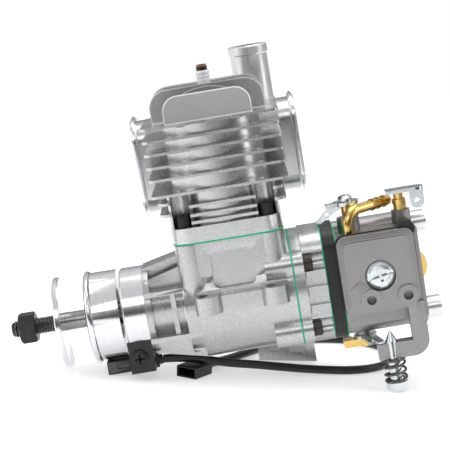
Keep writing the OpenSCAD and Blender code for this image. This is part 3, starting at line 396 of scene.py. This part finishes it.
class Palette:
    """Makes each material once."""

    def __init__(self) -> None:
        self._made: Dict[str, bpy.types.Material] = {}

    def get(self, name: str, edge: bool = False) -> bpy.types.Material:
        """Returns a material.

        Args:
            name: name of the finish.
            edge: whether it is the lighter finish of the piece's rounded edges, a painted highlight.

        Returns:
            The procedural material.
        """
        key = f"{name}_edge" if edge else name
        if key not in self._made:
            material = bpy.data.materials.new(key)
            finish = FINISHES[name]
            (finish.edge() if edge else finish).build(Graph(material))
            self._made[key] = material
        return self._made[key]


PALETTE = Palette()

NODE_SLOT: Dict[str, str] = {s["node"]: s["material_slot"] for s in frame["record"]["subparts"]}
BODY_NODES: Dict[str, List[str]] = frame["record"]["behaviour"]["bodies"]
NODE_BODY: Dict[str, str] = {node: body for body, nodes in BODY_NODES.items() for node in nodes}
SMOOTH_ANGLE = math.radians(32)
FLAT_ANGLE = math.radians(0.4)
WELD_MM = 0.002
# places of the edges' lighter finish, a painted highlight, and of the first patch's finish among a piece's
# materials
EDGE_PLACE = 1
PATCH_PLACE = 2
# two corners of a box round the whole engine, in millimetres
WHOLE_MM: Tuple[Point, Point] = ((-100.0, -100.0, -100.0), (100.0, 100.0, 100.0))


# pieces
@dataclass(frozen=True)
class Patch:
    """Faces of a piece that have a finish of their own.

    Args:
        finish: name of the finish.
        low: lower corner of the box that holds the middles of the faces, in millimetres.
        high: upper corner of that box.
        facing: direction that the faces look along, up to its sign, or None for any.
        rim_mm: width of the rim that is left round each face, in the edges' lighter finish, a painted
            highlight.
        sink_mm: depth of the face under its rim.
    """

    finish: str
    low: Point
    high: Point
    facing: Optional[Point] = None
    rim_mm: float = 0.0
    sink_mm: float = 0.0

    def holds(self, face: bmesh.types.BMFace) -> bool:
        """Whether a face is part of the patch."""
        middle = face.calc_center_median() / MM
        if not all(a <= value <= b for a, value, b in zip(self.low, middle, self.high)):
            return False
        return self.facing is None or abs(face.normal.dot(Vector(self.facing))) > 0.9

    def apply(self, shape: bmesh.types.BMesh, place: int) -> None:
        """Gives the patch's faces their finish, and a rim where it has one.

        Args:
            shape: mesh of the piece.
            place: place of the finish among the piece's materials.
        """
        faces = [face for face in shape.faces if self.holds(face)]
        if self.rim_mm > 0:
            ring = bmesh.ops.inset_individual(
                shape, faces=faces, thickness=self.rim_mm * MM, depth=-self.sink_mm * MM, use_even_offset=True
            )
            # the rim takes the edges' lighter finish: a painted highlight
            for face in ring["faces"]:
                face.material_index = EDGE_PLACE
        for face in faces:
            face.material_index = place


@dataclass(frozen=True)
class Dressed:
    """A CAD node's own shape with rounded edges that carry a painted highlight, smooth normals and a finish.

    Args:
        node: name of the CAD node that it stands for.
        round_mm: width of the rounded edges in millimetres.
        segments: faces across a rounded edge.
        patches: faces with a finish of their own.
    """

    node: str
    round_mm: float = 0.1
    segments: int = 2
    patches: Tuple[Patch, ...] = ()

    def make(self) -> bpy.types.Object:
        """Makes the piece and puts it in the node's place."""
        slot = NODE_SLOT[self.node]
        mesh = bpy.data.meshes.new(f"{self.node}_skin")
        mesh.materials.append(PALETTE.get(slot))
        # the rounded edges' lighter finish: a painted highlight
        mesh.materials.append(PALETTE.get(slot, edge=True))
        for patch in self.patches:
            mesh.materials.append(PALETTE.get(patch.finish))
        self._shape(mesh)
        piece = bpy.data.objects.new(mesh.name, mesh)
        bpy.context.scene.collection.objects.link(piece)
        self._round(piece)
        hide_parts(self.node)
        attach(piece, NODE_BODY[self.node])
        return piece

    def _shape(self, mesh: bpy.types.Mesh) -> None:
        shape = bmesh.new()
        shape.from_mesh(frame["nodes"][self.node].data)
        bmesh.ops.remove_doubles(shape, verts=shape.verts, dist=WELD_MM * MM)
        bmesh.ops.dissolve_limit(
            shape,
            angle_limit=FLAT_ANGLE,
            verts=shape.verts,
            edges=shape.edges,
            use_dissolve_boundaries=False,
        )
        bmesh.ops.recalc_face_normals(shape, faces=shape.faces)
        for face in shape.faces:
            face.smooth = True
            face.material_index = 0
        for place, patch in enumerate(self.patches):
            patch.apply(shape, PATCH_PLACE + place)
        shape.to_mesh(mesh)
        shape.free()
        mesh.set_sharp_from_angle(angle=SMOOTH_ANGLE)

    def _round(self, piece: bpy.types.Object) -> None:
        bevel = piece.modifiers.new("round", "BEVEL")
        bevel.limit_method = "ANGLE"
        bevel.angle_limit = SMOOTH_ANGLE
        bevel.width = self.round_mm * MM
        bevel.segments = self.segments
        bevel.harden_normals = True
        bevel.use_clamp_overlap = True
        # the rounded edges take the lighter edge finish: a painted highlight
        bevel.material = EDGE_PLACE


def tube(name: str, points: Sequence[Vector], radius: float, slot: str) -> bpy.types.Object:
    """Makes a round tube along points, as one curve.

    Args:
        name: name of the piece.
        points: the line that the tube follows.
        radius: radius of the tube in metres.
        slot: material slot.

    Returns:
        The curve object.
    """
    curve = bpy.data.curves.new(name, "CURVE")
    curve.dimensions = "3D"
    curve.bevel_depth = radius
    curve.bevel_resolution = 5
    curve.use_fill_caps = True
    spline = curve.splines.new("POLY")
    spline.points.add(len(points) - 1)
    for place, point in zip(spline.points, points):
        place.co = (*point, 1.0)
    spline.use_smooth = True
    piece = bpy.data.objects.new(name, curve)
    bpy.context.scene.collection.objects.link(piece)
    curve.materials.append(PALETTE.get(slot))
    return piece


@dataclass
class CoilSpring:
    """A wire spring about an upright axis, with closed end turns.

    Args:
        node: the CAD node that it stands for.
        turns: number of turns.
        wire: radius of the wire in metres.
        steps: points in one turn.
        start: angle of the wire's lower end, in radians.
        closed: part of a turn that lies flat at each end.
        pitch_share: share of the rise that the open turns take.
    """

    node: str
    turns: float
    wire: float
    steps: int = 28
    start: float = 0.6
    closed: float = 0.6
    pitch_share: float = 0.92

    def make(self) -> bpy.types.Object:
        """Winds the wire between the CAD node's ends."""
        low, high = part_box(self.node)
        centre = (low + high) / 2
        radius = (high.x - low.x) / 2 - self.wire
        bottom, top = low.z + self.wire, high.z - self.wire
        count = int(self.turns * self.steps)
        points: List[Vector] = []
        for step in range(count + 1):
            along = step / count
            angle = along * self.turns * 2 * math.pi + self.start
            spoke = Vector((math.cos(angle), math.sin(angle), 0.0)) * radius
            points.append(Vector((centre.x, centre.y, bottom + (top - bottom) * self._rise(along))) + spoke)
        piece = tube(f"{self.node}_coil", points, self.wire, NODE_SLOT[self.node])
        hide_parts(self.node)
        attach(piece, NODE_BODY[self.node])
        return piece

    def _rise(self, along: float) -> float:
        """Share of the height at a share of the wire, flat over the end turns."""
        flat = self.closed / self.turns
        value = (along - flat) / (1 - 2 * flat)
        return min(1.0, max(0.0, value)) * self.pitch_share + along * (1 - self.pitch_share)


@dataclass
class SensorCable:
    """The ignition sensor's cable, from the sensor to its three-pin plug.

    Args:
        route: points of the centre line in millimetres, as in the CAD source.
        radius: radius of the cable in metres.
        steps: points put between two points of the route.
    """

    route: Sequence[Point]
    radius: float = 1.5 * MM
    steps: int = 8

    def make(self) -> bpy.types.Object:
        points = self._smooth([Vector(p) * MM for p in self.route])
        length = sum((b - a).length for a, b in zip(points, points[1:]))
        LOG.info("cable length %.4f m", length)
        piece = tube("sensor_lead", points, self.radius, NODE_SLOT["sensor_cable"])
        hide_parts("sensor_cable")
        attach(piece, NODE_BODY["sensor_cable"])
        return piece

    def _smooth(self, knots: List[Vector]) -> List[Vector]:
        """Passes a smooth curve through the knots."""
        ends = [knots[0] * 2 - knots[1], *knots, knots[-1] * 2 - knots[-2]]
        line = [knots[0]]
        for before, start, end, after in zip(ends, ends[1:], ends[2:], ends[3:]):
            for step in range(1, self.steps + 1):
                t = step / self.steps
                line.append(
                    0.5
                    * (
                        2 * start
                        + (end - before) * t
                        + (2 * before - 5 * start + 4 * end - after) * t * t
                        + (3 * start - before - 3 * end + after) * t**3
                    )
                )
        return line


CABLE_ROUTE: Tuple[Point, ...] = (
    (-30.2, -3, -18.2), (-26.5, -3, -18.6), (-22, -3, -19.3), (-17, -3, -20.4),
    (-12.5, -3, -22), (-6, -3, -23.9), (1, -2.8, -25.6), (9, -2, -27.9),
    (17, 0, -30.5), (26, 2.2, -33.1), (34.5, 2.8, -34.8), (42, 5.8, -36.2),
    (47.8, 11.9, -37.3), (51, 20.5, -37.9), (51.5, 30.5, -38), (48, 39.5, -37.3),
    (41, 46, -36), (32, 48.5, -34.3), (22, 47, -32.4), (13, 42, -30.7),
    (6, 35, -29.4), (0.5, 27, -28.3), (-4.1, 20.4, -27.4), (-7.5, 15.7, -26.75),
    (-10.5, 11.5, -26.05), (-13.1, 7.7, -25.3), (-15.6, 4.12, -24.8), (-17.2, 1.6, -24.5),
)


Part = Union[Dressed, CoilSpring, SensorCable]


# sub-assemblies
class Assembly:
    """Sub-assembly whose pieces are made together."""

    def pieces(self) -> List[Part]:
        """The pieces, in the order in which they are made."""
        raise NotImplementedError

    def make(self) -> None:
        """Makes the pieces and reports them."""
        for piece in self.pieces():
            made = piece.make()
            LOG.info("%s: %s", type(self).__name__, made.name)


@dataclass(frozen=True)
class PropellerDrive(Assembly):
    """Crankshaft, hub, washer, nut, ring and bearings.

    Args:
        thread_mm: where the threaded end of the shaft begins and ends along X.
        hub_edge: width of the turned edges.
    """

    thread_mm: Tuple[float, float] = (-81.6, -62.1)
    hub_edge: float = 0.25

    def pieces(self) -> List[Part]:
        """The pieces of the drive."""
        tip, end = self.thread_mm
        thread = Patch("black_thread", (tip, -4.0, -4.0), (end, 4.0, 4.0))
        return [
            Dressed("crankshaft", 0.1, 1, (thread,)),
            Dressed("prop_hub", self.hub_edge),
            Dressed("hub_magnet"),
            Dressed("prop_washer", 0.15),
            Dressed("prop_nut", 0.15),
            Dressed("nose_ring", self.hub_edge),
            Dressed("bearing_races"),
            Dressed("bearing_inners"),
            Dressed("bearing_ball_sets"),
        ]


@dataclass(frozen=True)
class Crankcase(Assembly):
    """Crankcase, rear cover and their gasket.

    Args:
        cast_edge: width of the castings' rounded edges.
    """

    cast_edge: float = 0.6

    def pieces(self) -> List[Part]:
        """The castings and the gasket."""
        return [
            Dressed("crankcase", self.cast_edge, 3),
            Dressed("rear_cover", self.cast_edge, 3),
            Dressed("rear_gasket"),
        ]


@dataclass(frozen=True)
class Cylinder(Assembly):
    """Finned cylinder, its screws, plug and running gear.

    Args:
        head_mm: height of the head plates' foot and of their top.
        fin_edge: width of the fins' rounded edges.
    """

    head_mm: Tuple[float, float] = (64.7, 76.0)
    fin_edge: float = 0.4

    def pieces(self) -> List[Part]:
        """The pieces of the cylinder."""
        foot, top = self.head_mm
        plates = Patch("blasted_face", (-24.0, -20.0, foot), (24.0, 20.0, top), (0.0, 1.0, 0.0), 0.4, 0.12)
        neck = Patch("black_neck", (-3.0, -3.0, 79.0), (3.0, 3.0, 81.0))
        inner = ("piston", "piston_ring", "gudgeon_pin", "con_rod", "crank_pin")
        return [
            Dressed("cylinder_body", self.fin_edge, 2, (plates,)),
            Dressed("cylinder_gasket"),
            Dressed("cylinder_screws", 0.2),
            *(Dressed(node) for node in inner),
            Dressed("plug_shell"),
            Dressed("plug_washer"),
            Dressed("plug_insulator", 0.15),
            Dressed("plug_terminal", 0.15, 2, (neck,)),
        ]


@dataclass(frozen=True)
class Silencer(Assembly):
    """Silencer, its rolled ends, outlet pipe and gasket.

    Args:
        rim_edge: width of the rolled rims' rounded edges.
    """

    rim_edge: float = 0.45

    def pieces(self) -> List[Part]:
        """The pieces of the silencer."""
        satin = Patch("satin_tube", *WHOLE_MM)
        return [
            Dressed("silencer_body", 0.4, 3),
            Dressed("silencer_caps", self.rim_edge, 3),
            Dressed("exhaust_pipe", 0.25, 2, (satin,)),
            Dressed("exhaust_gasket"),
        ]


@dataclass(frozen=True)
class Intake(Assembly):
    """Manifold, reed block, insulator and gaskets.

    Args:
        cast_edge: width of the casting's rounded edges.
    """

    cast_edge: float = 0.4

    def pieces(self) -> List[Part]:
        """The pieces of the intake."""
        return [
            Dressed("intake_manifold", self.cast_edge, 3),
            Dressed("reed_block"),
            Dressed("manifold_screws", 0.2),
            Dressed("insulator_gaskets"),
            Dressed("insulator_block", 0.2),
        ]


@dataclass(frozen=True)
class Carburettor(Assembly):
    """Carburettor with its covers, screws, levers, pipe and springs.

    Args:
        body_edge: width of the body's rounded edges.
        cover_edge: width of the covers' rounded edges.
    """

    body_edge: float = 0.5
    cover_edge: float = 0.35

    def pieces(self) -> List[Part]:
        """The pieces of the carburettor."""
        fine = (
            "pump_gasket", "pump_cover_screw", "metering_gasket", "metering_screws", "fuel_elbow",
            "screen_cap", "throttle_shaft", "throttle_plate", "throttle_arm", "throttle_arm_screw",
            "throttle_stop_lever", "choke_shaft", "choke_plate", "choke_lever", "idle_screw",
        )
        return [
            Dressed("carb_body", self.body_edge, 3),
            Dressed("pump_cover", self.cover_edge, 3),
            Dressed("metering_cover", self.cover_edge, 3),
            Dressed("carb_screws", 0.4, 3),
            *(Dressed(node, 0.12) for node in fine),
            CoilSpring("idle_spring", 4.0, 0.45 * MM),
            CoilSpring("throttle_spring", 7.0, 0.32 * MM),
        ]


@dataclass(frozen=True)
class Ignition(Assembly):
    """Ignition sensor with its bracket, cable and plug.

    Args:
        window_mm: corners of the sensor's window.
    """

    window_mm: Tuple[Point, Point] = ((-46.5, -6.1, -18.8), (-41.8, -5.0, -16.8))

    def pieces(self) -> List[Part]:
        """The sensor's pieces."""
        window = Patch("sensor_window", *self.window_mm)
        return [
            Dressed("sensor_bracket", 0.35),
            Dressed("sensor_screw"),
            Dressed("sensor_body", 0.3, 2, (window,)),
            Dressed("cable_plug", 0.3),
            SensorCable(CABLE_ROUTE),
        ]


ENGINE: Tuple[Assembly, ...] = (
    Ignition(),
    PropellerDrive(),
    Crankcase(),
    Cylinder(),
    Silencer(),
    Intake(),
    Carburettor(),
)


# height above the table at which the lights are aimed, in metres
AIM_UP = 20 * MM


# table, camera and light
@dataclass(frozen=True)
class Table:
    """The plane that the engine lies on, in the engine's own frame.

    Args:
        slope: fall of the plane for each unit of X.
        drop: depth of the plane under the origin in metres.
        colour: colour of its top.
        glow: white that the camera sees on top of its own colour.
        half: half of the top's width in metres.
        front: how far the top reaches in front of the engine, in metres.
    """

    slope: float
    drop: float
    colour: Colour = (0.8, 0.8, 0.805)
    glow: float = 0.48
    half: float = 1.5
    front: float = 0.6

    @property
    def up(self) -> Vector:
        """Upward normal of the plane."""
        return Vector((self.slope, 0.0, 1.0)).normalized()

    @property
    def right(self) -> Vector:
        """Level direction along the engine, to the photograph's right."""
        return Vector((1.0, 0.0, -self.slope)).normalized()

    def basis(self) -> Matrix:
        """Frame of the table: its right, its depth and its up."""
        return Matrix((self.right, Vector((0.0, 1.0, 0.0)), self.up)).transposed().to_4x4()

    def make(self) -> bpy.types.Object:
        """Makes the white table top."""
        mesh = bpy.data.meshes.new("table_top")
        grid = bmesh.new()
        bmesh.ops.create_grid(grid, x_segments=1, y_segments=1, size=self.half)
        down = Matrix.Translation((0, 0, -self.drop))
        back = Matrix.Translation((0, self.half - self.front, 0))
        bmesh.ops.transform(grid, matrix=down @ self.basis() @ back, verts=grid.verts)
        grid.to_mesh(mesh)
        grid.free()
        piece = bpy.data.objects.new("table_top", mesh)
        bpy.context.scene.collection.objects.link(piece)
        material = bpy.data.materials.new("white_table")
        self._whiten(Graph(material))
        mesh.materials.append(material)
        return piece

    def _whiten(self, graph: Graph) -> None:
        """Pale matt top that the camera and mirrors see as white, apart from the shadow."""
        rays = graph.add("ShaderNodeLightPath")
        mirrored = rays.out("Is Glossy Ray").larger(rays.out("Is Transmission Ray"))
        seen = rays.out("Is Camera Ray").larger(mirrored)
        matt = graph.add("ShaderNodeBsdfPrincipled", None, {"Base Color": self.colour, "Roughness": 0.7})
        glow = graph.add("ShaderNodeEmission", None, {"Color": (1.0, 1.0, 1.0), "Strength": self.glow})
        lit = graph.add("ShaderNodeAddShader", None, {0: matt, 1: glow})
        both = graph.add("ShaderNodeMixShader", None, {0: seen, 1: matt, 2: lit})
        graph.add("ShaderNodeOutputMaterial", None, {"Surface": both})


# the floor under the cable, and the photographer's level that the view follows
FLOOR = Table(slope=0.1892, drop=29.79 * MM)
LEVEL = Table(slope=0.1655, drop=28.0 * MM)


@dataclass(frozen=True)
class StudioCamera:
    """Camera that looks level along +Y over the table.

    Args:
        elevation: angle of the view under the level, in degrees.
        distance: distance from the target in metres.
        focal_px: focal length in pixels of the square picture.
        target_right: target's place to the right of the origin in metres.
        target_up: target's place above the origin in metres.
    """

    elevation: float = 9.6
    distance: float = 0.526
    focal_px: float = 1500.0
    target_right: float = -5.0 * MM
    target_up: float = 24.53 * MM

    def make(self, table: Table) -> bpy.types.Object:
        """Makes the scene's camera."""
        tilt = math.radians(self.elevation)
        target = table.right * self.target_right + table.up * self.target_up
        forward = Vector((0.0, 1.0, 0.0)) * math.cos(tilt) - table.up * math.sin(tilt)
        above = table.right.cross(forward)
        data = bpy.data.cameras.new("camera")
        data.sensor_width = SENSOR_MM
        data.lens = self.focal_px / IMAGE_PX * SENSOR_MM
        data.clip_start = 0.01
        data.clip_end = 20.0
        camera = bpy.data.objects.new("camera", data)
        turn = Matrix((table.right, above, -forward)).transposed().to_4x4()
        camera.matrix_world = Matrix.Translation(target - forward * self.distance) @ turn
        bpy.context.scene.collection.objects.link(camera)
        bpy.context.scene.camera = camera
        return camera


@dataclass(frozen=True)
class SoftBox:
    """A square studio light.

    Args:
        name: name of the light.
        place: place of the light in the table's frame, in metres.
        size: width and height in metres.
        watts: power.
    """

    name: str
    place: Point
    size: Tuple[float, float]
    watts: float

    def make(self, table: Table) -> bpy.types.Object:
        """Makes the light, turned to the engine."""
        data = bpy.data.lights.new(self.name, "AREA")
        data.shape = "RECTANGLE"
        data.size, data.size_y = self.size
        data.energy = self.watts
        light = bpy.data.objects.new(self.name, data)
        at = table.basis() @ Vector(self.place)
        aim = (table.up * AIM_UP - at).normalized()
        light.matrix_world = Matrix.Translation(at) @ aim.to_track_quat("-Z", "Y").to_matrix().to_4x4()
        bpy.context.scene.collection.objects.link(light)
        return light


LIGHTS: Tuple[SoftBox, ...] = (
    SoftBox("top_box", (0.05, 0.05, 0.62), (0.5, 0.4), 1.6),
    SoftBox("left_box", (-0.62, -0.15, 0.28), (0.25, 0.5), 1.0),
    SoftBox("right_box", (0.62, -0.1, 0.3), (0.2, 0.5), 0.7),
    SoftBox("front_box", (-0.15, -0.75, 0.5), (0.6, 0.3), 1.1),
)


@dataclass(frozen=True)
class Studio:
    """White room: bright above and behind the engine, darker behind the camera.

    Args:
        dim: brightness of the dark part.
        above: brightness that height adds.
        behind: brightness that the far wall adds.
        sides: brightness that the side walls add.
        rise: heights between which the light from above grows.
        depth: depths between which the far wall's light grows.
        reach: squares of the sideways direction between which the side walls' light grows.
    """

    dim: float = 0.05
    above: float = 0.6
    behind: float = 0.2
    sides: float = 0.06
    rise: Tuple[float, float] = (0.12, 0.8)
    depth: Tuple[float, float] = (-0.9, 0.3)
    reach: Tuple[float, float] = (0.2, 0.85)

    def make(self) -> None:
        """Makes the world."""
        world = bpy.data.worlds.new("studio")
        bpy.context.scene.world = world
        graph = Graph(world)
        coords = graph.add("ShaderNodeTexCoord", output="Generated")
        split = graph.add("ShaderNodeSeparateXYZ", None, {0: coords})
        side = split.out(0)
        amount = (
            split.out(2).band(*self.rise) * self.above
            + split.out(1).band(*self.depth) * self.behind
            + (side * side).band(*self.reach) * self.sides
            + self.dim
        )
        room = graph.mix(amount, (0.0, 0.0, 0.0), (1.0, 1.005, 1.015))
        light = graph.add("ShaderNodeBackground", None, {"Color": room, "Strength": 1.0})
        plain = graph.add("ShaderNodeBackground", None, {"Color": (1.0, 1.0, 1.0), "Strength": 1.0})
        rays = graph.add("ShaderNodeLightPath", output="Is Camera Ray")
        both = graph.add("ShaderNodeMixShader", None, {0: rays, 1: light, 2: plain})
        graph.add("ShaderNodeOutputWorld", None, {"Surface": both})


def main() -> None:
    """Builds the scene."""
    logging.basicConfig(level=logging.INFO)
    scene = bpy.context.scene
    scene.view_settings.view_transform = "Standard"
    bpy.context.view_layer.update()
    StudioCamera().make(LEVEL)
    for part in ENGINE:
        part.make()
    FLOOR.make()
    for light in LIGHTS:
        light.make(LEVEL)
    Studio().make()


if __name__ == "__main__":
    main()
